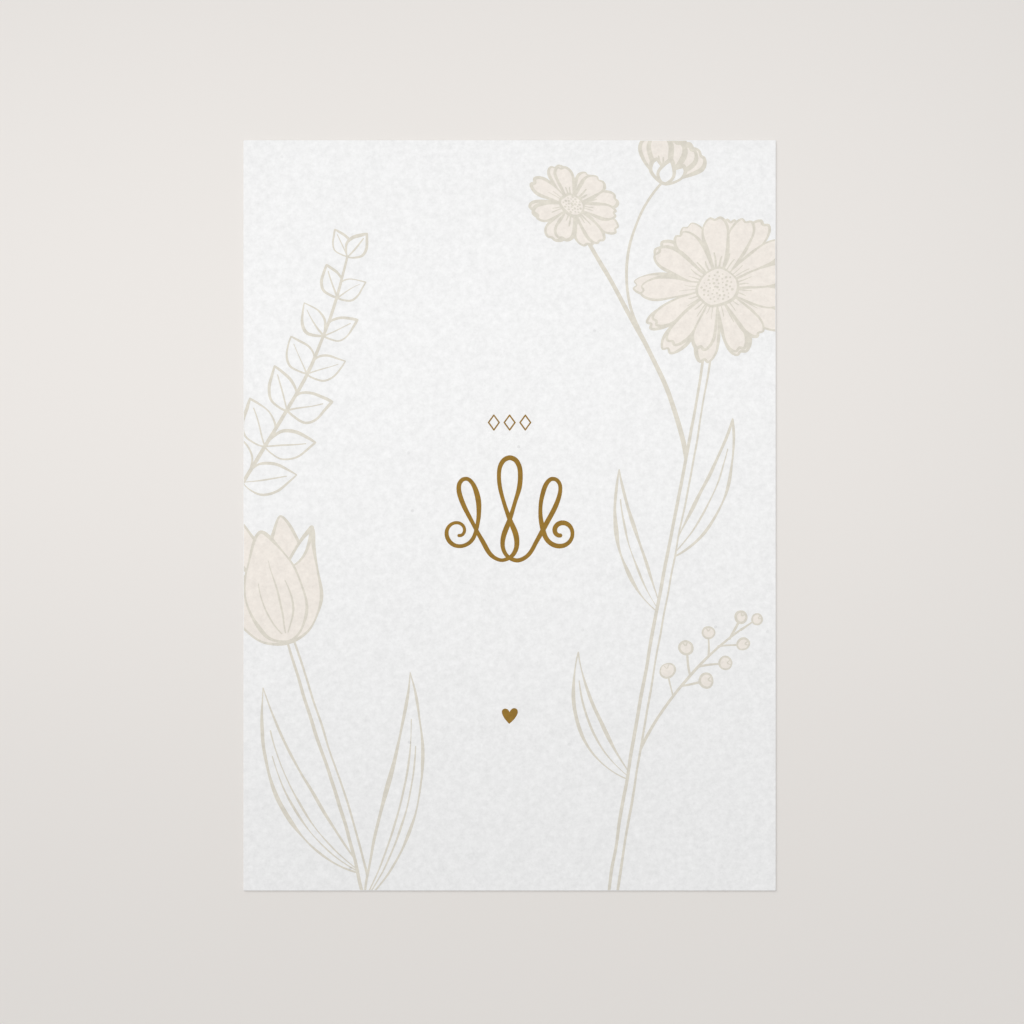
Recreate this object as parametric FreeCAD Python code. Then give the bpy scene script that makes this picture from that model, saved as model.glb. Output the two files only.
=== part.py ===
"""A6 picture postcard: one sheet of heavy uncoated card, lying with its printed side up.

Millimetres. The origin is the middle of the back face, which lies on the table at Z = 0.
+X runs along the short side, +Y points to the top of the printed side, +Z is up through the sheet.
"""
import FreeCAD, Part
import os

# The trimmed sheet
WIDTH = 105.0
HEIGHT = 148.0
THICKNESS = 0.40

# The guillotine presses the rim of the printed side down a little and leaves the back rim crisp
RIM_ROUNDING = 0.08
# Handling only just blunts the four square corners
CORNER_ROUNDING = 0.20


def is_upright(edge):
    """True for an edge that runs straight through the sheet's thickness."""
    start, end = edge.Vertexes[0].Point, edge.Vertexes[-1].Point
    return abs(end.z - start.z) > 0.5 * THICKNESS


def make_card():
    """The sheet: a slab with blunted corners and a rounded rim round its printed side."""
    slab = Part.makeBox(WIDTH, HEIGHT, THICKNESS, FreeCAD.Vector(-WIDTH / 2, -HEIGHT / 2, 0))
    corner = min(CORNER_ROUNDING, 0.45 * WIDTH, 0.45 * HEIGHT)
    slab = slab.makeFillet(corner, [edge for edge in slab.Edges if is_upright(edge)])
    front = max(slab.Faces, key=lambda face: face.CenterOfMass.z)
    rim = min(RIM_ROUNDING, 0.45 * THICKNESS, 0.8 * corner)
    return slab.makeFillet(rim, front.Edges)


os.makedirs("parts", exist_ok=True)
make_card().exportStep("parts/card.step")
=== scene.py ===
"""Postcard: one sheet of heavy felt-marked card with a pale botanical line print and a pen flourish.

Metres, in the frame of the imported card: the back lies on the table at Z = 0, the print faces +Z
and its top points to +Y. The print is drawn on a drawing board in millimetres, from the middle of
the card. It is flattened so that each spot takes one ink, and laid on the card as thin films.
"""

import math
import random

import bpy
from mathutils import Matrix, Vector
from mathutils.bvhtree import BVHTree
from mathutils.geometry import delaunay_2d_cdt


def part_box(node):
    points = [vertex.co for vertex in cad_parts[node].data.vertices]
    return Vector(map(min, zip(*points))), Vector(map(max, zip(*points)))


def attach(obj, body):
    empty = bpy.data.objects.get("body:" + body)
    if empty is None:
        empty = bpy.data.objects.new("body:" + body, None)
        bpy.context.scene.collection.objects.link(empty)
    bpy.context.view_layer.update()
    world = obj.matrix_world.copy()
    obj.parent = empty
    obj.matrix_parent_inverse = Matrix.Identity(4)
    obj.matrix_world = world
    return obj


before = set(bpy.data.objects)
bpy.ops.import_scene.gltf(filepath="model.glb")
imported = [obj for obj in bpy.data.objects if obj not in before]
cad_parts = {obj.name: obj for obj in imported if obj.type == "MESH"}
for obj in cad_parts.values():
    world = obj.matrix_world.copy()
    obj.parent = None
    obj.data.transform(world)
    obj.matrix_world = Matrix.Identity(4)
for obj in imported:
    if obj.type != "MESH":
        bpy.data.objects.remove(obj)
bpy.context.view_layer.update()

MM = 0.001
TAU = 2 * math.pi
GOLDEN_ANGLE = math.pi * (3 - math.sqrt(5))
CORNERS = ((-1, -1), (1, -1), (1, 1), (-1, 1))

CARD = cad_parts["card"]
CARD_LOW, CARD_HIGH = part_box("card")
CARD_WIDTH, CARD_HEIGHT, _ = CARD_HIGH - CARD_LOW
FRONT = CARD_HIGH.z     # the height of the printed face

# Print, in millimetres
TRIM = 0.10             # the ink stops this far inside the card's edge, just clear of its rounded rim
INK_PROUD = 0.012       # how far a film of ink stands above the paper
INK_SUNK = 0.006        # how far it has soaked in
LINE_NIB = 0.52         # full width of the pale line
BOLD_NIB = 0.72         # of the bolder pale line
THIN_NIB = 0.42         # of the thinner pale line
STEM_WIDTH = 2.1        # of a stem that is drawn as two lines
STEM_SHIFT = 0.15       # of the bare card between them, to the right
FLOURISH_NIB = 0.87     # of the ochre pen stroke
FINE_NIB = 0.28         # of the small ochre ornament
STEP = 0.35             # spacing of the points along a drawn line
FINE_STEP = 0.2         # along the flourish
HEART_STEP = 0.1        # along the outline of the heart


# ---------------------------------------------------------------- colours


def linear(red, green, blue):
    """A colour given as it is seen, 0 to 255, as the linear values that shaders take."""
    def one(value):
        value /= 255
        return value / 12.92 if value <= 0.04045 else ((value + 0.055) / 1.055) ** 2.4
    return (one(red), one(green), one(blue), 1.0)


PAPER_WHITE = linear(244, 244, 244)
PALE_LINE = linear(223, 218, 206)
BLUSH = linear(242, 235, 227)
OCHRE = linear(150, 115, 42)
TABLE_WHITE = linear(236, 232, 228)


# ---------------------------------------------------------------- node helpers


def node(tree, kind, **settings):
    """Adds a node. Settings whose names are its own are set on it, and the others on its inputs."""
    made = tree.nodes.new(kind)
    for name, value in settings.items():
        if hasattr(made, name):
            setattr(made, name, value)
        else:
            made.inputs[name.replace("_", " ")].default_value = value
    return made


def feed(tree, value, socket):
    """Links an output to an input, or sets the input where a plain value is given."""
    if isinstance(value, bpy.types.NodeSocket):
        tree.links.new(value, socket)
    else:
        socket.default_value = value


def maths(tree, operation, *terms):
    """The output of a maths node with these terms."""
    made = node(tree, "ShaderNodeMath", operation=operation)
    for socket, term in zip(made.inputs, terms):
        feed(tree, term, socket)
    return made.outputs[0]


def vector(tree, x=0.0, y=0.0, z=0.0):
    """The output of a node that joins three terms into a vector."""
    made = node(tree, "ShaderNodeCombineXYZ")
    for socket, term in zip(made.inputs, (x, y, z)):
        feed(tree, term, socket)
    return made.outputs[0]


# ---------------------------------------------------------------- finishes


FELT_DEPTH = 0.00008    # of the felt mark, in metres
FELT_SCALE = 900.0      # its waves to the metre
PULP_SCALE = 800.0      # waves of the fine mottle
CLOUD_SCALE = 180.0     # waves of the clouds in it
CLOUD_SHARE = 0.12      # of the clouds, beside the fine mottle
MOTTLE = 0.24           # how strongly the paper's shade varies
MOTTLE_MIDDLE = 0.56    # the middle of the mottle, which leaves the shade as it is
SPECK_CELLS = 85.0      # cells to the metre that may hold a speck
SPECK_RADIUS = 0.026    # as a share of a cell
SPECK_BELOW = 0.22      # a cell has a speck if its random number is below this
SPECK_SHADE = -0.6      # how much a speck darkens, times its random number


def felt_grain():
    """Node group: the felt mark of the card as a height, and as a shade about 1 with a few specks."""
    group = bpy.data.node_groups.new("Felt grain", "ShaderNodeTree")
    for label in ("Height", "Shade"):
        group.interface.new_socket(label, in_out="OUTPUT", socket_type="NodeSocketFloat")
    out = group.nodes.new("NodeGroupOutput")
    place = node(group, "ShaderNodeTexCoord").outputs["Object"]

    def noise(scale, detail, roughness):
        made = node(group, "ShaderNodeTexNoise", Scale=scale, Detail=detail, Roughness=roughness)
        feed(group, place, made.inputs["Vector"])
        return made.outputs["Fac"]

    felt = noise(FELT_SCALE, 2.0, 0.6)
    pulp = noise(PULP_SCALE, 2.0, 0.82)
    cloud = noise(CLOUD_SCALE, 1.0, 0.5)
    blotch = maths(group, "MULTIPLY_ADD", cloud, CLOUD_SHARE, pulp)
    mottle = maths(group, "MULTIPLY_ADD", blotch, MOTTLE, 1.0 - MOTTLE_MIDDLE * MOTTLE)
    cells = node(group, "ShaderNodeTexVoronoi", voronoi_dimensions="2D", Scale=SPECK_CELLS)
    feed(group, place, cells.inputs["Vector"])
    near = maths(group, "LESS_THAN", cells.outputs["Distance"], SPECK_RADIUS)
    chance = maths(group, "ADD", cells.outputs["Color"], 0.0)
    rare = maths(group, "LESS_THAN", chance, SPECK_BELOW)
    speck = maths(group, "MULTIPLY", maths(group, "MULTIPLY", near, rare), chance)
    shade = maths(group, "MULTIPLY_ADD", speck, SPECK_SHADE, mottle)
    feed(group, felt, out.inputs["Height"])
    feed(group, shade, out.inputs["Shade"])
    return group


FELT_GRAIN = felt_grain()


def paper_like(name, colour, depth, roughness, unevenness=1.0):
    """A matt finish on the felt grain of the card, in metres of depth. Ink that takes unevenly has
    more unevenness than the paper under it."""
    material = bpy.data.materials.new(name)
    material.use_nodes = True
    tree = material.node_tree
    shader = tree.nodes["Principled BSDF"]
    shader.inputs["Roughness"].default_value = roughness
    shader.inputs["Specular IOR Level"].default_value = 0.25
    grain = node(tree, "ShaderNodeGroup", node_tree=FELT_GRAIN)
    tint = node(tree, "ShaderNodeVectorMath", operation="SCALE")
    tint.inputs[0].default_value = colour[:3]
    feed(tree, maths(tree, "POWER", grain.outputs["Shade"], unevenness), tint.inputs["Scale"])
    feed(tree, tint.outputs["Vector"], shader.inputs["Base Color"])
    bump = node(tree, "ShaderNodeBump", Strength=1.0, Distance=depth)
    feed(tree, grain.outputs["Height"], bump.inputs["Height"])
    feed(tree, bump.outputs["Normal"], shader.inputs["Normal"])
    return material


CARD_FINISH = paper_like("Felt card", PAPER_WHITE, FELT_DEPTH, 0.85)
LINE_FINISH = paper_like("Pale line ink", PALE_LINE, FELT_DEPTH, 0.8, 1.4)
BLUSH_FINISH = paper_like("Blush ink", BLUSH, FELT_DEPTH, 0.8)
OCHRE_FINISH = paper_like("Ochre ink", OCHRE, 0.8 * FELT_DEPTH, 0.65, 2.5)


# ---------------------------------------------------------------- drawing


def smooth(points, closed=False, spacing=STEP):
    """Points about that far apart along a smooth curve through the given ones.

    A point is (x, y) or (x, y, pen), where pen scales the nib, and 1 is its full width."""
    points = [tuple(p) + (1.0,) * (3 - len(p)) for p in points]
    count = len(points)

    def at(i):
        return points[i % count] if closed else points[min(max(i, 0), count - 1)]

    def slope(i):
        before, here, after = at(i - 1), at(i), at(i + 1)
        way = math.dist(before[:2], here[:2]) + math.dist(here[:2], after[:2])
        chord = [(b - a) / way for a, b in zip(before, after)]
        if closed or count == 2 or 0 < i < count - 1:
            return chord
        beside = slope(1 if i == 0 else count - 2)
        return [2 * c - s for c, s in zip(chord, beside)]

    found = []
    for i in range(count if closed else count - 1):
        way = math.dist(at(i)[:2], at(i + 1)[:2])
        steps = max(2, round(way / spacing))
        for k in range(steps):
            t = k / steps
            found.append(tuple(
                (1 + 2 * t) * (1 - t) ** 2 * a + t * (1 - t) ** 2 * way * m
                + t * t * (3 - 2 * t) * b + t * t * (t - 1) * way * n
                for a, b, m, n in zip(at(i), at(i + 1), slope(i), slope(i + 1))
            ))
    if not closed:
        found.append(points[-1])
    return found


LEAST_PEN = 0.05        # the pen never lifts off a line


class Sketch:
    """A drawing in millimetres: filled outlines, and lines for the pen to follow.

    Each has a level, and what has the higher level covers what lies under it."""

    def __init__(self, name):
        self.name = name
        self.points, self.pens, self.edges, self.faces = [], [], [], []

    def _add(self, path, level):
        """Adds the points of a path and gives back their numbers."""
        first = len(self.points)
        self.points += [(x, y, level) for x, y, _ in path]
        self.pens += [max(pen, LEAST_PEN) for _, _, pen in path]
        return list(range(first, len(self.points)))

    def fill(self, path, level=0.0):
        """A filled outline."""
        self.faces.append(self._add(path, level))

    def line(self, path, level=0.0):
        """A line from one end of the path to the other."""
        at = self._add(path, level)
        self.edges += list(zip(at, at[1:]))

    def shape(self, path, level=0.0):
        """A filled outline with a line all round it."""
        self.fill(path, level)
        self.line(path + path[:1], level + 0.5)

    def as_object(self, collection=None):
        """The drawing as a mesh object, in the scene or in the collection, with its pen widths."""
        mesh = bpy.data.meshes.new(self.name)
        mesh.from_pydata(self.points, self.edges, self.faces)
        pen = mesh.attributes.new("pen", "FLOAT", "POINT")
        pen.data.foreach_set("value", self.pens)
        made = bpy.data.objects.new(self.name, mesh)
        (collection or bpy.context.scene.collection).objects.link(made)
        return made


# ---------------------------------------------------------------- Geometry Nodes


CHOICES = 99            # a random number up to this picks a drawing, and counts round and round
LIFT = 2.0              # height from one leaf of a sprig to the next
CLOSING = 6.0           # a sprig closes with this power of the way to its tip
SWAY_SCALE = 0.16       # waves of the hand's sway to the millimetre
PRESS_SCALE = 0.15      # waves of its pressure
PEN_CORNERS = 14        # of the round end of a line
SEED_CORNERS = 9        # of a seed's dot
SIZE_SEED = 7           # added to the seed, so that the sizes don't follow the turns


def new_tree(name, inputs):
    """A Geometry Nodes tree with a geometry input and output and these named inputs."""
    tree = bpy.data.node_groups.new(name, "GeometryNodeTree")
    face = tree.interface
    face.new_socket("Geometry", in_out="INPUT", socket_type="NodeSocketGeometry")
    for label, kind in inputs.items():
        face.new_socket(label, in_out="INPUT", socket_type="NodeSocket" + kind)
    face.new_socket("Geometry", in_out="OUTPUT", socket_type="NodeSocketGeometry")
    return tree, tree.nodes.new("NodeGroupInput").outputs, tree.nodes.new("NodeGroupOutput")


def add_tree(target, tree, **values):
    """Puts the tree on an object and sets its named inputs by their identifiers."""
    modifier = target.modifiers.new(tree.name, "NODES")
    modifier.node_group = tree
    for item in tree.interface.items_tree:
        if item.in_out == "INPUT" and item.name.replace(" ", "_") in values:
            modifier[item.identifier] = values[item.name.replace(" ", "_")]
    return target


def then(tree, kind, geometry, **settings):
    """A node that takes the geometry at its first input; gives back the node."""
    made = node(tree, kind, **settings)
    feed(tree, geometry, made.inputs[0])
    return made


def scatter(tree, seed, spread, extra=0):
    """A random number between minus and plus the spread, for each point."""
    made = node(tree, "FunctionNodeRandomValue", data_type="FLOAT")
    feed(tree, maths(tree, "MULTIPLY", spread, -1.0), made.inputs[2])
    feed(tree, spread, made.inputs[3])
    feed(tree, maths(tree, "ADD", seed, extra), made.inputs["Seed"])
    return made.outputs[1]


def set_out(tree, given, place, turn, size):
    """Instances of the drawings of a collection, one to each of Count places."""
    points = then(tree, "GeometryNodePoints", given["Count"])
    feed(tree, place, points.inputs["Position"])
    choice = node(tree, "FunctionNodeRandomValue", data_type="INT")
    choice.inputs[5].default_value = CHOICES
    feed(tree, given["Seed"], choice.inputs["Seed"])
    drawings = node(tree, "GeometryNodeCollectionInfo", Separate_Children=True, Reset_Children=True)
    feed(tree, given["Drawings"], drawings.inputs["Collection"])
    made = then(tree, "GeometryNodeInstanceOnPoints", points.outputs[0], Pick_Instance=True)
    feed(tree, drawings.outputs[0], made.inputs["Instance"])
    feed(tree, choice.outputs[2], made.inputs["Instance Index"])
    feed(tree, vector(tree, z=turn), made.inputs["Rotation"])
    feed(tree, size, made.inputs["Scale"])
    real = then(tree, "GeometryNodeRealizeInstances", made.outputs[0])
    finish = then(tree, "GeometryNodeSetMaterial", real.outputs[0])
    feed(tree, given["Fill"], finish.inputs["Material"])
    return finish.outputs[0]


def pen_tree():
    """Inks a drawing: a flat ribbon along each line, round at its ends, with a hand's unsteadiness."""
    tree, given, out = new_tree("Pen", {
        "Nib": "Float", "Wobble": "Float", "Pressure": "Float", "Fill": "Material", "Line": "Material",
    })
    sway = node(tree, "ShaderNodeTexNoise", Scale=SWAY_SCALE, Detail=0.0)
    centred = node(tree, "ShaderNodeVectorMath", operation="SUBTRACT")
    feed(tree, sway.outputs["Color"], centred.inputs[0])
    centred.inputs[1].default_value = (0.5, 0.5, 0.5)
    across_paper = node(tree, "ShaderNodeVectorMath", operation="MULTIPLY")
    feed(tree, centred.outputs[0], across_paper.inputs[0])
    feed(tree, vector(tree, given["Wobble"], given["Wobble"]), across_paper.inputs[1])
    hand = then(tree, "GeometryNodeSetPosition", given["Geometry"])
    feed(tree, across_paper.outputs[0], hand.inputs["Offset"])

    borders = node(tree, "GeometryNodeInputMeshEdgeNeighbors")
    is_line = node(tree, "FunctionNodeCompare", data_type="INT", operation="EQUAL")
    feed(tree, borders.outputs["Face Count"], is_line.inputs[2])
    apart = then(tree, "GeometryNodeSeparateGeometry", hand.outputs[0], domain="EDGE")
    feed(tree, is_line.outputs["Result"], apart.inputs["Selection"])
    path = then(tree, "GeometryNodeMeshToCurve", apart.outputs["Selection"]).outputs[0]

    pen = node(tree, "GeometryNodeInputNamedAttribute", data_type="FLOAT", Name="pen").outputs[0]
    press = node(tree, "ShaderNodeTexNoise", Scale=PRESS_SCALE, Detail=0.0).outputs["Fac"]
    harder = maths(tree, "MULTIPLY", maths(tree, "SUBTRACT", press, 0.5), given["Pressure"])
    full = maths(tree, "MULTIPLY", pen, given["Nib"])
    width = maths(tree, "MULTIPLY_ADD", full, harder, full)
    across = node(tree, "GeometryNodeCurvePrimitiveLine", Start=(-0.5, 0, 0), End=(0.5, 0, 0))
    ribbon = then(tree, "GeometryNodeCurveToMesh", path)
    feed(tree, across.outputs[0], ribbon.inputs["Profile Curve"])
    feed(tree, width, ribbon.inputs["Scale"])
    dot = node(tree, "GeometryNodeMeshCircle", fill_type="NGON", Vertices=PEN_CORNERS, Radius=0.5)
    ends = node(tree, "GeometryNodeCurveEndpointSelection")
    caps = then(tree, "GeometryNodeInstanceOnPoints", path)
    feed(tree, ends.outputs[0], caps.inputs["Selection"])
    feed(tree, dot.outputs[0], caps.inputs["Instance"])
    feed(tree, width, caps.inputs["Scale"])

    strokes = node(tree, "GeometryNodeJoinGeometry")
    for part in (caps, ribbon):
        feed(tree, part.outputs[0], strokes.inputs[0])
    real = then(tree, "GeometryNodeRealizeInstances", strokes.outputs[0])
    both = node(tree, "GeometryNodeJoinGeometry")
    for part, ink in ((real.outputs[0], "Line"), (apart.outputs["Inverted"], "Fill")):
        finish = then(tree, "GeometryNodeSetMaterial", part)
        feed(tree, given[ink], finish.inputs["Material"])
        feed(tree, finish.outputs[0], both.inputs[0])
    feed(tree, both.outputs[0], out.inputs[0])
    return tree


def ring_tree():
    """Sets petals round a middle, over an arc, each turned and sized a little at random. The pen
    is run over them afterwards, so that it keeps its width."""
    tree, given, out = new_tree("Petal ring", {
        "Drawings": "Collection", "Count": "Int", "Arc": "Float", "Turn": "Float",
        "Turn spread": "Float", "Size": "Float", "Size spread": "Float", "Seed": "Int",
        "Fill": "Material",
    })
    number = node(tree, "GeometryNodeInputIndex").outputs[0]
    apart = maths(tree, "DIVIDE", given["Arc"], given["Count"])
    even = maths(tree, "MULTIPLY_ADD", number, apart, given["Turn"])
    turn = maths(tree, "ADD", even, scatter(tree, given["Seed"], given["Turn spread"]))
    spread = scatter(tree, given["Seed"], given["Size spread"], SIZE_SEED)
    size = maths(tree, "ADD", given["Size"], spread)
    petals = set_out(tree, given, vector(tree, z=number), turn, size)
    feed(tree, petals, out.inputs[0])
    return tree


def sprig_tree():
    """Sets leaves or berries along a stem, in turn on its left and its right, singly or in pairs,
    changing in size and closing towards its tip. The pen is run over them afterwards."""
    tree, given, out = new_tree("Sprig", {
        "Drawings": "Collection", "Count": "Int", "Group": "Int", "From": "Float", "To": "Float",
        "Angle": "Float", "Tip angle": "Float", "Angle spread": "Float", "Foot size": "Float",
        "Tip size": "Float", "Seed": "Int", "Fill": "Material",
    })
    stem = then(tree, "GeometryNodeMeshToCurve", given["Geometry"])
    number = node(tree, "GeometryNodeInputIndex").outputs[0]
    step = maths(tree, "FLOOR", maths(tree, "DIVIDE", number, given["Group"]))
    last = maths(tree, "SUBTRACT", maths(tree, "DIVIDE", given["Count"], given["Group"]), 1.0)
    along = maths(tree, "DIVIDE", step, last)
    reach = maths(tree, "SUBTRACT", given["To"], given["From"])
    sample = then(tree, "GeometryNodeSampleCurve", stem.outputs[0], mode="FACTOR")
    feed(tree, maths(tree, "MULTIPLY_ADD", along, reach, given["From"]), sample.inputs["Factor"])
    place = node(tree, "ShaderNodeVectorMath", operation="ADD")
    feed(tree, sample.outputs["Position"], place.inputs[0])
    feed(tree, vector(tree, z=maths(tree, "MULTIPLY", number, LIFT)), place.inputs[1])
    way = then(tree, "ShaderNodeSeparateXYZ", sample.outputs["Tangent"])
    heading = maths(tree, "ARCTAN2", way.outputs["Y"], way.outputs["X"])
    odd = maths(tree, "MODULO", number, 2.0)
    side = maths(tree, "MULTIPLY_ADD", odd, -2.0, 1.0)
    closing = maths(tree, "MULTIPLY", maths(tree, "POWER", along, CLOSING),
                    maths(tree, "SUBTRACT", given["Tip angle"], given["Angle"]))
    opened = maths(tree, "ADD", maths(tree, "ADD", given["Angle"], closing),
                   scatter(tree, given["Seed"], given["Angle spread"]))
    turn = maths(tree, "MULTIPLY_ADD", opened, side, heading)
    change = maths(tree, "SUBTRACT", given["Tip size"], given["Foot size"])
    size = maths(tree, "MULTIPLY_ADD", along, change, given["Foot size"])
    feed(tree, set_out(tree, given, place.outputs[0], turn, size), out.inputs[0])
    return tree


def seed_tree():
    """Dots in the spiral order of the seeds in a flower's eye."""
    tree, given, out = new_tree("Seed head", {
        "Count": "Int", "Radius": "Float", "Dot": "Float", "Seed": "Int", "Line": "Material",
    })
    number = node(tree, "GeometryNodeInputIndex").outputs[0]
    reach = maths(tree, "SQRT", maths(tree, "DIVIDE", number, given["Count"]))
    reach = maths(tree, "MULTIPLY", reach, given["Radius"])
    turn = maths(tree, "MULTIPLY", number, GOLDEN_ANGLE)
    across = maths(tree, "MULTIPLY", reach, maths(tree, "COSINE", turn))
    up = maths(tree, "MULTIPLY", reach, maths(tree, "SINE", turn))
    points = then(tree, "GeometryNodePoints", given["Count"])
    feed(tree, vector(tree, across, up), points.inputs["Position"])
    dot = node(tree, "GeometryNodeMeshCircle", fill_type="NGON", Vertices=SEED_CORNERS)
    feed(tree, given["Dot"], dot.inputs["Radius"])
    dots = then(tree, "GeometryNodeInstanceOnPoints", points.outputs[0])
    feed(tree, dot.outputs[0], dots.inputs["Instance"])
    feed(tree, maths(tree, "ADD", 0.9, scatter(tree, given["Seed"], 0.3)), dots.inputs["Scale"])
    real = then(tree, "GeometryNodeRealizeInstances", dots.outputs[0])
    finish = then(tree, "GeometryNodeSetMaterial", real.outputs[0])
    feed(tree, given["Line"], finish.inputs["Material"])
    feed(tree, finish.outputs[0], out.inputs[0])
    return tree


PEN = pen_tree()
PETAL_RING = ring_tree()
SPRIG = sprig_tree()
SEED_HEAD = seed_tree()


# ---------------------------------------------------------------- drawing board


LAYER_GAP = 1.0         # height between a drawing on the board and the next one over it
MERGE = 1e-5            # points of the print that are nearer than this are one


class Board:
    """The drawing board: everything that is to print, stacked in the order in which it is laid."""

    def __init__(self):
        self.points, self.faces, self.inks = [], [], []
        self.level = 0.0

    def lay(self, drawing, at=(0.0, 0.0), turn=0.0, tilt=1.0, size=1.0):
        """Lays a drawing on the board, over what is there, squeezed across by tilt, then turned by
        that many degrees and moved."""
        made = drawing.evaluated_get(bpy.context.evaluated_depsgraph_get())
        mesh = bpy.data.meshes.new_from_object(made)
        shift = (Matrix.Translation((at[0], at[1], 0)) @ Matrix.Rotation(math.radians(turn), 4, "Z")
                 @ Matrix.Diagonal((size, size * tilt, 1, 1)))
        first = len(self.points)
        heights = [v.co.z for v in mesh.vertices]
        low = min(heights)
        for v in mesh.vertices:
            p = shift @ v.co
            self.points.append((p.x, p.y, self.level + v.co.z - low))
        for face in mesh.polygons:
            self.faces.append([first + i for i in face.vertices])
            self.inks.append(mesh.materials[face.material_index].name)
        self.level += max(heights) - low + LAYER_GAP
        bpy.data.meshes.remove(mesh)

    def ink(self, drawing, nib=LINE_NIB, fill=BLUSH_FINISH, line=LINE_FINISH, wobble=0.8, pressure=1.8,
            **place):
        """Runs the pen over a drawing and lays it: the nib is as wide as that on the card."""
        size = place.get("size", 1.0)
        add_tree(drawing, PEN, Nib=nib / size, Wobble=wobble, Pressure=pressure, Fill=fill, Line=line)
        self.lay(drawing, **place)


def seen_from_above(board):
    """A function that says which ink lies on top at a place on the board."""
    stack = BVHTree.FromPolygons(board.points, board.faces)

    def ink_at(x, y):
        face = stack.ray_cast(Vector((x, y, board.level + LAYER_GAP)), Vector((0, 0, -1)))[2]
        return "" if face is None else board.inks[face]

    return ink_at


def cut_up(points, edges, ink_at, half_width, half_height):
    """Triangles between these edges, each with the ink that it shows, inside the trimmed sheet."""
    found, _, faces, _, _, _ = delaunay_2d_cdt(points, edges, [], 0, MERGE, False)
    result = []
    for face in faces:
        x = sum(found[i].x for i in face) / 3
        y = sum(found[i].y for i in face) / 3
        inside = abs(x) < half_width and abs(y) < half_height
        result.append((tuple(face), ink_at(x, y) if inside else ""))
    return found, result


def flatten(board, half_width, half_height):
    """Splits the sheet into the fields of each ink. The first cut finds the fields' outlines,
    and the second fills those outlines with as few triangles as they need."""
    ink_at = seen_from_above(board)
    points = [Vector(p[:2]) for p in board.points]
    edges = {tuple(sorted(pair)) for face in board.faces for pair in zip(face, face[1:] + face[:1])}
    first = len(points)
    points += [Vector((x * half_width, y * half_height)) for x, y in CORNERS]
    rim = [(first + k, first + (k + 1) % 4) for k in range(4)]
    found, cells = cut_up(points, sorted(edges) + rim, ink_at, half_width, half_height)
    beside = {}
    for face, ink in cells:
        for pair in zip(face, face[1:] + face[:1]):
            beside.setdefault(tuple(sorted(pair)), []).append(ink)
    outline = sorted(pair for pair, inks in beside.items() if len(inks) == 2 and inks[0] != inks[1])
    used = sorted({i for pair in outline for i in pair})
    place = {old: new for new, old in enumerate(used)}
    outline = [(place[a], place[b]) for a, b in outline]
    return cut_up([found[i] for i in used], outline, ink_at, half_width, half_height)


def ink_film(name, finish, points, faces):
    """A closed film of ink over these triangles, from just inside the paper to just above it.
    Where two fields of the film touch at a point only, each gets a corner of its own there."""
    owners = {}
    for number, face in enumerate(faces):
        for pair in zip(face, face[1:] + face[:1]):
            owners.setdefault(tuple(sorted(pair)), []).append(number)
    parent = {(n, v): (n, v) for n, face in enumerate(faces) for v in face}

    def root(key):
        """The one name of a corner that several triangles share."""
        while parent[key] != key:
            parent[key] = parent[parent[key]]
            key = parent[key]
        return key

    for pair, pieces in owners.items():
        if len(pieces) == 2:
            for v in pair:
                parent[root((pieces[0], v))] = root((pieces[1], v))
    corner_of = {}
    flat = []
    upper = []
    for n, face in enumerate(faces):
        corners = []
        for v in face:
            key = root((n, v))
            if key not in corner_of:
                corner_of[key] = len(flat)
                flat.append((points[v].x * MM, points[v].y * MM))
            corners.append(corner_of[key])
        upper.append(corners)
    count = len(flat)
    vertices = [(x, y, z) for z in (FRONT + INK_PROUD * MM, FRONT - INK_SUNK * MM) for x, y in flat]
    lower = [[i + count for i in reversed(face)] for face in upper]
    directed = {pair for face in upper for pair in zip(face, face[1:] + face[:1])}
    walls = [[b, a, a + count, b + count] for a, b in directed if (b, a) not in directed]
    mesh = bpy.data.meshes.new(name)
    mesh.from_pydata(vertices, [], upper + lower + sorted(walls))
    mesh.materials.append(finish)
    film = bpy.data.objects.new(name, mesh)
    bpy.context.scene.collection.objects.link(film)
    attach(film, "root")
    return film


# ---------------------------------------------------------------- plants


def both_sides(widths, length, bend=0.0):
    """The outline of a petal or leaf along +X: out along its left side and back along its right.
    Widths are (share of the length, half width, pen), and bend moves the tip to the left."""
    left = [(t * length, w + bend * t * t, pen) for t, w, pen in widths]
    right = [(t * length, -w + bend * t * t, pen) for t, w, pen in reversed(widths)]
    return left, right


def collection_of(name, count, draw_one):
    """A collection of that many sketches, each from a function of its number."""
    drawings = bpy.data.collections.new(name)
    for number in range(count):
        draw_one(number).as_object(drawings)
    return drawings


PETAL_LENGTH = 16.0


def daisy_petals(name, draw, broad):
    """Like petals with nicked tips and fine creases."""

    def petal(number):
        wide = broad * draw.uniform(0.94, 1.12)
        bend = draw.uniform(-0.9, 0.9)
        widths = [(0.10, 0.75 * wide, 0.8), (0.32, 1.30 * wide, 1.0), (0.58, 2.0 * wide, 1.15),
                  (0.80, 2.25 * wide, 1.1), (0.93, 1.75 * wide, 1.0), (0.995, 0.85 * wide, 0.9)]
        left, right = both_sides(widths, PETAL_LENGTH, bend)
        nick = [(PETAL_LENGTH * draw.uniform(0.94, 0.97), bend + draw.uniform(-0.3, 0.3), 0.9)]
        outline = smooth(left + nick + right)
        sketch = Sketch(f"{name} {number}")
        sketch.fill(outline)
        sketch.line(outline, 0.5)
        for side in (-1, 1):
            reach = draw.uniform(0.42, 0.62)
            crease = [(0.14 * PETAL_LENGTH, side * 0.25, 0.55),
                      (0.35 * PETAL_LENGTH, side * 0.45 + bend * 0.12, 0.55),
                      (reach * PETAL_LENGTH, side * 0.75 + bend * reach * reach, 0.35)]
            sketch.line(smooth(crease), 0.4)
        return sketch

    return collection_of(name, 4, petal)


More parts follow.
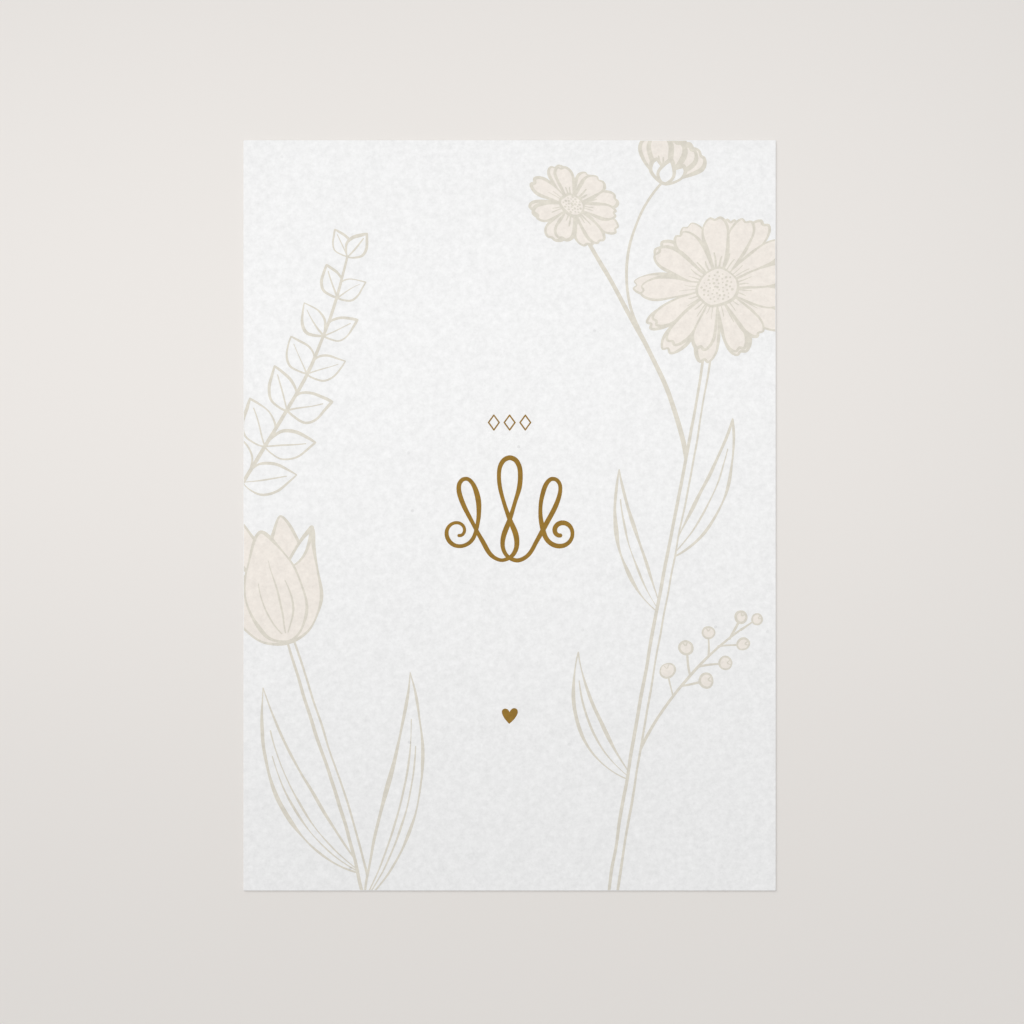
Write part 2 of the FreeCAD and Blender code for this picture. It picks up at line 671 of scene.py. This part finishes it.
def petal_ring(petals, **settings):
    """A ring or a fan of these petals round its middle."""
    ring = Sketch("Ring").as_object()
    return add_tree(ring, PETAL_RING, Drawings=petals, Fill=BLUSH_FINISH, **settings)


def disc(radius, draw, wobble=0.05, count=11):
    """A round outline drawn by hand."""
    points = []
    for k in range(count):
        r = radius * (1 + draw.uniform(-wobble, wobble))
        points.append((r * math.cos(TAU * k / count), r * math.sin(TAU * k / count)))
    return smooth(points, closed=True)


def lay_daisy(board, at, radius, turn, tilt, seed, counts=(12, 13), broad=1.0, nib=LINE_NIB):
    """A daisy seen a little from the side: two rings of petals round a seeded eye."""
    draw = random.Random(seed)
    size = radius / PETAL_LENGTH
    place = {"at": at, "turn": turn, "tilt": tilt, "size": size}
    petals = daisy_petals(f"Daisy petal {seed}", draw, broad)
    for ring, count in enumerate(counts):
        drawing = petal_ring(petals, Count=count, Arc=TAU, Turn=ring * math.pi / count, Turn_spread=0.07,
                             Size=1.0 - 0.05 * ring, Size_spread=0.07, Seed=seed + ring)
        board.ink(drawing, nib, **place)
    eye = Sketch("Eye")
    eye.shape(disc(PETAL_LENGTH * 0.26, draw))
    board.ink(eye.as_object(), nib, **place)
    seeds = add_tree(Sketch("Seeds").as_object(), SEED_HEAD, Count=round(46 * size), Seed=seed,
                     Radius=PETAL_LENGTH * 0.21, Dot=0.26 / size, Line=LINE_FINISH)
    board.lay(seeds, **place)


def lay_bud(board, at, turn, size, seed, nib=LINE_NIB):
    """A half-open daisy from the side, with its foot at the given place: a fan of petals that
    stands in a cup of bare sepals."""
    draw = random.Random(seed)
    place = {"at": at, "turn": turn, "size": size}
    petals = daisy_petals(f"Bud petal {seed}", draw, 1.6)
    for ring, (count, arc) in enumerate(((4, 1.75), (3, 1.25))):
        first = (math.pi - arc * (count - 1) / count) / 2
        fan = petal_ring(petals, Count=count, Arc=arc, Turn=first, Turn_spread=0.04,
                         Size=0.62 - 0.03 * ring, Size_spread=0.03, Seed=seed + ring)
        board.ink(fan, nib, **place)
    cup = Sketch("Cup")
    for level, (lean, reach) in enumerate(((-1.0, 4.6), (1.0, 4.6), (0.0, 5.2))):
        tip = (lean * 2.9, reach, 0.9)
        left = smooth([(-0.5, -0.2), (lean * 1.6 - 1.7, 1.6), (lean * 2.6 - 1.2, 3.4), tip])
        right = smooth([tip, (lean * 2.6 + 1.2, 3.4), (lean * 1.6 + 1.7, 1.6), (0.5, -0.2)])
        cup.shape(left + right[1:], level)
    board.ink(cup.as_object(), nib, CARD_FINISH, **place)


def oval_leaves(name, length, width, draw):
    """Like pointed leaves with a midrib."""

    def leaf(number):
        bend = draw.uniform(-0.1, 0.1) * length
        broad = width * draw.uniform(0.92, 1.1)
        widths = [(0.0, 0.0, 0.9), (0.12, 0.24 * broad, 0.9), (0.34, 0.48 * broad, 1.0),
                  (0.6, 0.43 * broad, 1.1), (0.84, 0.19 * broad, 1.1), (1.0, 0.0, 0.9)]
        left, right = both_sides(widths, length, bend)
        sketch = Sketch(f"{name} {number}")
        sketch.fill(smooth(left) + smooth(right)[1:-1])
        for side in (left, right):
            sketch.line(smooth(side), 0.5)
        rib = [(t * length, bend * t * t, 0.8 - 0.4 * t) for t in (0.0, 0.3, 0.6, 0.8)]
        sketch.line(smooth(rib), 0.4)
        return sketch

    return collection_of(name, 3, leaf)


def berries_on_stalks(name, stalk, radius, draw):
    """Like berries on short stalks, each with its little crown."""

    def berry(number):
        length = stalk * draw.uniform(0.8, 1.15)
        sag = draw.uniform(-0.15, 0.15) * length
        sketch = Sketch(f"{name} {number}")
        sketch.line(smooth([(0, 0, 1.0), (0.5 * length, sag, 0.9), (length, 0, 0.9)]), 0.1)
        sketch.shape([(x + length + radius, y, pen) for x, y, pen in disc(radius, draw, 0.04)], 0.3)
        for turn in (-0.4, 0.4):
            tip = (length + 1.9 * radius, radius * turn, 0.5)
            sketch.line([(length + 1.35 * radius, radius * turn * 0.2, 0.7), tip], 0.9)
        return sketch

    return collection_of(name, 3, berry)


def lay_sprig(board, path, drawings, fill, **settings):
    """Leaves or berries along a path."""
    guide = Sketch("Sprig")
    guide.line(smooth(path))
    sprig = add_tree(guide.as_object(), SPRIG, Drawings=drawings, Fill=fill, **settings)
    board.ink(sprig, THIN_NIB, fill)


def lay_stem(board, path, width=STEM_WIDTH, hollow=True):
    """A stem: a solid line where it is thin, or else two lines with bare card between them, of
    which the left one is bolder half way."""
    last = len(path) - 1
    strokes = [(width, LINE_FINISH, 0.0)]
    if hollow:
        strokes.append((width - 2 * LINE_NIB, CARD_FINISH, STEM_SHIFT))
    for nib, ink, shift in strokes:
        way = [(x + shift * math.sin(math.pi * i / last), y, pen) for i, (x, y, pen) in enumerate(path)]
        stem = Sketch("Stem")
        stem.line(smooth(way))
        board.ink(stem.as_object(), nib, line=ink, wobble=0.2, pressure=0.3)


def lay_blade(board, spine, width, veins=(0.0,)):
    """A long bare leaf along its spine, widest before its middle and closed at its tip."""
    path = smooth(spine)
    last = len(path) - 1

    def beside(share, start, end, nib, swell):
        """The line that runs this share of the half width to the left of the spine, with a pen
        that swells between its ends."""
        first, stop = round(start * last), round(end * last)
        line = []
        for i in range(first, stop + 1):
            t = i / last
            before, after = path[max(i - 1, 0)], path[min(i + 1, last)]
            heading = math.atan2(after[1] - before[1], after[0] - before[0])
            reach = share * (0.1 * (1 - t) + 0.9 * math.sin(math.pi * t ** 0.8)) * width / 2
            x, y, _ = path[i]
            pen = nib + swell * math.sin(math.pi * (i - first) / (stop - first))
            line.append((x - reach * math.sin(heading), y + reach * math.cos(heading), pen))
        return line

    leaf = Sketch("Blade")
    left, right = beside(1.0, 0.0, 1.0, 0.6, 0.65), beside(-1.0, 0.0, 1.0, 0.6, 0.5)
    leaf.fill(left + right[-2::-1])
    leaf.line(left, 0.5)
    leaf.line(right, 0.5)
    for number, share in enumerate(veins):
        leaf.line(beside(share, 0.02, 0.80 - 0.12 * (number % 2), 0.45, 0.25), 0.4)
    board.ink(leaf.as_object(), fill=CARD_FINISH, wobble=0.3)


def lay_tulip(board, at, turn, size):
    """A tulip seen from the side, with its foot at the given place: four petals behind, the bare
    turned rims of two of them, and the petal in front with its veins."""
    behind = [
        [(-1.5, 1.0), (-6.0, 7.0), (-6.6, 14.6), (-4.9, 20.6),
         (-3.3, 23.6), (-1.6, 21.0), (0.4, 15.0), (0.6, 8.0)],
        [(1.5, 1.0), (6.2, 7.5), (6.9, 14.4), (5.9, 19.8),
         (4.6, 22.6), (2.8, 20.2), (0.4, 15.5), (-0.6, 8.0)],
        [(0.4, 0.1), (-4.2, 1.1), (-7.7, 5.4), (-8.7, 11.2),
         (-9.3, 16.4), (-9.5, 19.9), (-6.6, 17.4), (-3.4, 13.4)],
        [(-0.4, 0.1), (4.4, 1.2), (7.9, 5.8), (8.7, 11.8),
         (9.0, 16.0), (9.3, 18.9), (6.4, 16.6), (3.4, 13.2)],
    ]
    rims = [
        ([(-9.5, 19.9), (-6.6, 17.4), (-3.4, 13.4)],
         [(-3.4, 13.4), (-5.4, 14.0), (-7.9, 16.4), (-9.5, 19.9)]),
        ([(9.3, 18.9), (6.4, 16.6), (3.4, 13.2)],
         [(3.4, 13.2), (5.3, 13.4), (7.7, 15.5), (9.3, 18.9)]),
    ]
    front = [(0.0, 0.0), (-3.6, 2.0), (-5.3, 7.0), (-4.6, 13.0), (-1.9, 18.0), (0.4, 20.6), (2.3, 17.9),
             (4.7, 12.8), (5.2, 7.0), (3.4, 1.9)]
    veins = [[(spread * 0.25, 1.6, 0.75), (spread, reach * 0.55, 0.6), (spread, reach, 0.35)]
             for reach, spread in ((15.2, 0.4), (11.6, -2.4), (10.8, 2.4))]

    def lay_shapes(outlines, fill, lines=()):
        """Lays these outlines with a line of uneven width round each, and these lines over them."""
        part = Sketch("Tulip")
        for number, outline in enumerate(outlines):
            part.shape([(x, y, 1.05 + 0.25 * math.sin(0.7 * y + number)) for x, y, _ in outline], number)
        for line in lines:
            part.line(smooth(line), len(outlines))
        board.ink(part.as_object(), fill=fill, at=at, turn=turn, size=size)

    lay_shapes([smooth(outline, closed=True) for outline in behind], BLUSH_FINISH)
    lay_shapes([smooth(outer) + smooth(inner)[1:-1] for outer, inner in rims], CARD_FINISH)
    lay_shapes([smooth(front, closed=True)], BLUSH_FINISH, veins)


# ---------------------------------------------------------------- the print


def lay_upper_right(board):
    """A tall daisy, a smaller one and a bud on one branching stem, with a spray of berries."""
    draw = random.Random(11)
    stem = [(19.5, -80.0, 1.1), (24.6, -48.0, 1.05), (30.6, -14.0, 1.0), (36.0, 14.0, 0.92),
            (40.0, 38.0, 0.85)]
    branch = [(35.2, 9.0, 0.9), (31.4, 24.0, 0.9), (23.4, 40.0, 0.85), (14.8, 55.0, 0.75)]
    twig = [(25.6, 36.6, 0.8), (23.0, 47.0, 0.75), (25.2, 58.0, 0.7), (30.4, 66.0, 0.65)]
    spray = [(24.4, -49.0, 0.9), (30.5, -38.0, 0.8), (38.0, -29.0, 0.7), (45.5, -22.6, 0.55)]
    lay_sprig(board, spray, berries_on_stalks("Berry", 4.2, 1.2, draw), BLUSH_FINISH, Count=8, Group=1,
              From=0.45, To=1.0, Angle=0.78, Tip_angle=0.05, Angle_spread=0.16, Foot_size=1.15,
              Tip_size=0.85, Seed=4)
    lay_stem(board, spray, BOLD_NIB, hollow=False)
    lay_stem(board, twig, BOLD_NIB, hollow=False)
    lay_bud(board, (30.4, 65.6), -16.0, 0.92, 33, BOLD_NIB)
    lay_stem(board, branch, 1.0, hollow=False)
    lay_daisy(board, (12.4, 61.2), 9.6, -30.0, 0.76, 14, (8, 7), 1.5, 0.6)
    lay_blade(board, [(29.6, -19.0), (25.2, -10.5), (22.4, -1.0), (21.6, 9.0)], 4.4)
    lay_blade(board, [(31.8, -8.0), (37.4, -1.0), (41.6, 8.0), (44.0, 19.0)], 5.0)
    lay_blade(board, [(24.0, -52.0), (18.0, -45.5), (14.4, -37.0), (13.6, -27.0)], 4.6)
    lay_stem(board, stem)
    lay_daisy(board, (41.0, 45.0), 16.0, 25.0, 0.86, 21)


def lay_lower_left(board):
    """A tulip with two long leaves, and a leafy spray behind it."""
    draw = random.Random(12)
    spray = [(-57.0, 0.0, 1.0), (-48.0, 14.0, 0.9), (-38.5, 31.0, 0.8), (-32.0, 51.0, 0.6)]
    stem = [(-27.0, -80.0, 1.1), (-31.6, -61.0, 1.05), (-37.8, -42.0, 1.0), (-43.4, -24.0, 0.9)]
    lay_sprig(board, spray, oval_leaves("Oval leaf", 9.6, 6.2, draw), CARD_FINISH, Count=14, Group=2,
              From=0.14, To=1.0, Angle=0.9, Tip_angle=0.5, Angle_spread=0.15, Foot_size=1.1,
              Tip_size=0.6, Seed=6)
    lay_stem(board, spray, 0.8, hollow=False)
    lay_blade(board, [(-29.6, -70.0), (-38.0, -62.0), (-45.0, -49.5), (-48.6, -34.0)], 7.0, (0.0, 0.42))
    lay_stem(board, stem)
    lay_blade(board, [(-28.2, -75.0), (-23.0, -62.0), (-19.8, -47.5), (-19.6, -31.0)], 7.0, (0.0, -0.42))
    lay_tulip(board, (-43.7, -24.9), 15.0, 1.08)


def curl(middle, radius, end_radius, start, turn, count):
    """Points along a spiral, with its angles in degrees."""
    points = []
    for k in range(count + 1):
        t = k / count
        r = radius + (end_radius - radius) * t
        angle = math.radians(start + turn * t)
        points.append((middle[0] + r * math.cos(angle), middle[1] + r * math.sin(angle), 1.0 - 0.15 * t))
    return points


def lay_ochre_work(board):
    """Three small lozenges, a pen flourish under them and a heart."""
    lozenges = Sketch("Lozenges")
    for middle in (-3.1, 0.0, 3.1):
        corners = [(middle, 19.75), (middle + 1.05, 18.3), (middle, 16.85), (middle - 1.05, 18.3)]
        for start, end in zip(corners, corners[1:] + corners[:1]):
            lozenges.line([(*start, 1.0), (*end, 1.0)])
    board.ink(lozenges.as_object(), FINE_NIB, line=OCHRE_FINISH, wobble=0.1, pressure=0.5)

    half = [(0.0, 11.4), (1.25, 10.8), (2.0, 9.1), (1.95, 6.0), (1.05, 2.4), (0.0, -0.8), (-1.2, -4.0),
            (-1.3, -6.4), (-0.3, -8.2), (1.6, -8.9), (3.7, -7.8), (5.4, -5.0), (7.2, -1.6), (9.0, 1.8),
            (9.95, 4.4), (9.95, 6.1), (9.2, 7.1), (8.1, 7.15), (7.1, 6.0), (6.4, 3.8), (6.1, 1.4),
            (6.2, -1.2)]
    half = [(x, y, 1.0) for x, y in half] + curl((10.1, -3.2), 3.3, 0.75, -165.0, 425.0, 15)
    flourish = Sketch("Flourish")
    flourish.line(smooth([(-x, y, pen) for x, y, pen in half[:0:-1]] + half, spacing=FINE_STEP))
    board.ink(flourish.as_object(), FLOURISH_NIB, line=OCHRE_FINISH, wobble=0.3, pressure=0.9)

    left_lobe = [(-0.02, -38.8), (-0.4, -38.25), (-0.95, -38.1), (-1.45, -38.4), (-1.5, -39.0), (-1.1, -39.9),
                 (-0.6, -40.55), (-0.08, -41.1)]
    right_lobe = [(-0.08, -41.1), (0.55, -40.55), (1.15, -39.85), (1.6, -38.95), (1.5, -38.3), (0.95, -38.0),
                  (0.4, -38.2), (-0.02, -38.8)]
    heart = Sketch("Heart")
    heart.fill(smooth(left_lobe, spacing=HEART_STEP)[:-1] + smooth(right_lobe, spacing=HEART_STEP)[:-1])
    board.ink(heart.as_object(), fill=OCHRE_FINISH, wobble=0.0)


def draw_print():
    """The whole print, from the back to the front."""
    board = Board()
    lay_upper_right(board)
    lay_lower_left(board)
    lay_ochre_work(board)
    return board


half_width = CARD_WIDTH / MM / 2 - TRIM
half_height = CARD_HEIGHT / MM / 2 - TRIM
spots, fields = flatten(draw_print(), half_width, half_height)
for drawing in [o for o in bpy.data.objects if o.type == "MESH" and o != CARD]:
    bpy.data.objects.remove(drawing)
for name, finish, slot in (
    ("blush_print", BLUSH_FINISH, "blush_ink"),
    ("line_print", LINE_FINISH, "line_ink"),
    ("ochre_print", OCHRE_FINISH, "ochre_ink"),
):
    ink_film(name, finish, spots, [face for face, ink in fields if ink == finish.name])

for place in CARD.material_slots:
    place.link = "OBJECT"
    place.material = CARD_FINISH


# ---------------------------------------------------------------- table, light and camera


TABLE_HALF = 2.0        # half the side of the table
TABLE_DROP = 0.00001    # keeps its face apart from the card's back
table_mesh = bpy.data.meshes.new("Table")
corners = [(x * TABLE_HALF, y * TABLE_HALF, CARD_LOW.z - TABLE_DROP) for x, y in CORNERS]
table_mesh.from_pydata(corners, [], [(0, 1, 2, 3)])
table = bpy.data.objects.new("Table", table_mesh)
bpy.context.scene.collection.objects.link(table)
table_finish = bpy.data.materials.new("Table top")
table_finish.use_nodes = True
table_shader = table_finish.node_tree.nodes["Principled BSDF"]
table_shader.inputs["Base Color"].default_value = TABLE_WHITE
table_shader.inputs["Roughness"].default_value = 0.9
table_mesh.materials.append(table_finish)

SKY = 0.625             # even light from all round
SUN = 0.20              # share of the light that the low soft sun adds on the card
LAMP = 0.177            # share that the long lamp over the card's upper half adds under it
SUN_WAY = Vector((0.50, -0.55, -0.75)).normalized()
LAMP_PLACE = (-0.04, 0.04, 0.09)
LAMP_SIZE = (0.30, 0.12)
LAMP_LOSS = 0.364       # how much of a small lamp's light under it is left at that size

world = bpy.data.worlds.new("Studio")
bpy.context.scene.world = world
world.use_nodes = True
tree = world.node_tree
light = tree.nodes["Background"]
light.inputs["Color"].default_value = (1, 1, 1, 1)
light.inputs["Strength"].default_value = SKY
backdrop = node(tree, "ShaderNodeBackground", Color=TABLE_WHITE, Strength=SKY + SUN)
ray = node(tree, "ShaderNodeLightPath").outputs
shiny = maths(tree, "MAXIMUM", ray["Is Glossy Ray"], ray["Is Transmission Ray"])
seen = node(tree, "ShaderNodeMixShader")
feed(tree, maths(tree, "MAXIMUM", ray["Is Camera Ray"], shiny), seen.inputs[0])
feed(tree, light.outputs[0], seen.inputs[1])
feed(tree, backdrop.outputs[0], seen.inputs[2])
feed(tree, seen.outputs[0], tree.nodes["World Output"].inputs["Surface"])


def add_light(name, kind, energy, way, place=(0.0, 0.0, 0.0), **settings):
    """A lamp that shines that way."""
    data = bpy.data.lights.new(name, kind)
    data.energy = energy
    for key, value in settings.items():
        setattr(data, key, value)
    made = bpy.data.objects.new(name, data)
    made.location = place
    made.rotation_euler = way.to_track_quat("-Z", "Y").to_euler()
    bpy.context.scene.collection.objects.link(made)


add_light("Soft sun", "SUN", SUN * math.pi / -SUN_WAY.z, SUN_WAY, angle=math.radians(40))
add_light("Long lamp", "AREA", LAMP * (math.pi * LAMP_PLACE[2]) ** 2 / LAMP_LOSS,
          Vector((0.0, 0.0, -1.0)), LAMP_PLACE,
          shape="RECTANGLE", size=LAMP_SIZE[0], size_y=LAMP_SIZE[1])

FRAME_TALL = 0.20193       # how much the picture takes in at the card's face, top to bottom
SENSOR = 36.0
LENS = 85.0
AIM = (0.00047, 0.00067)   # the card sits a little left of and below the middle
camera_data = bpy.data.cameras.new("Camera")
camera_data.sensor_width = SENSOR
camera_data.lens = LENS
camera = bpy.data.objects.new("Camera", camera_data)
camera.location = (*AIM, FRONT + FRAME_TALL * LENS / SENSOR)
bpy.context.scene.collection.objects.link(camera)
bpy.context.scene.camera = camera

bpy.context.scene.view_settings.view_transform = "Standard"
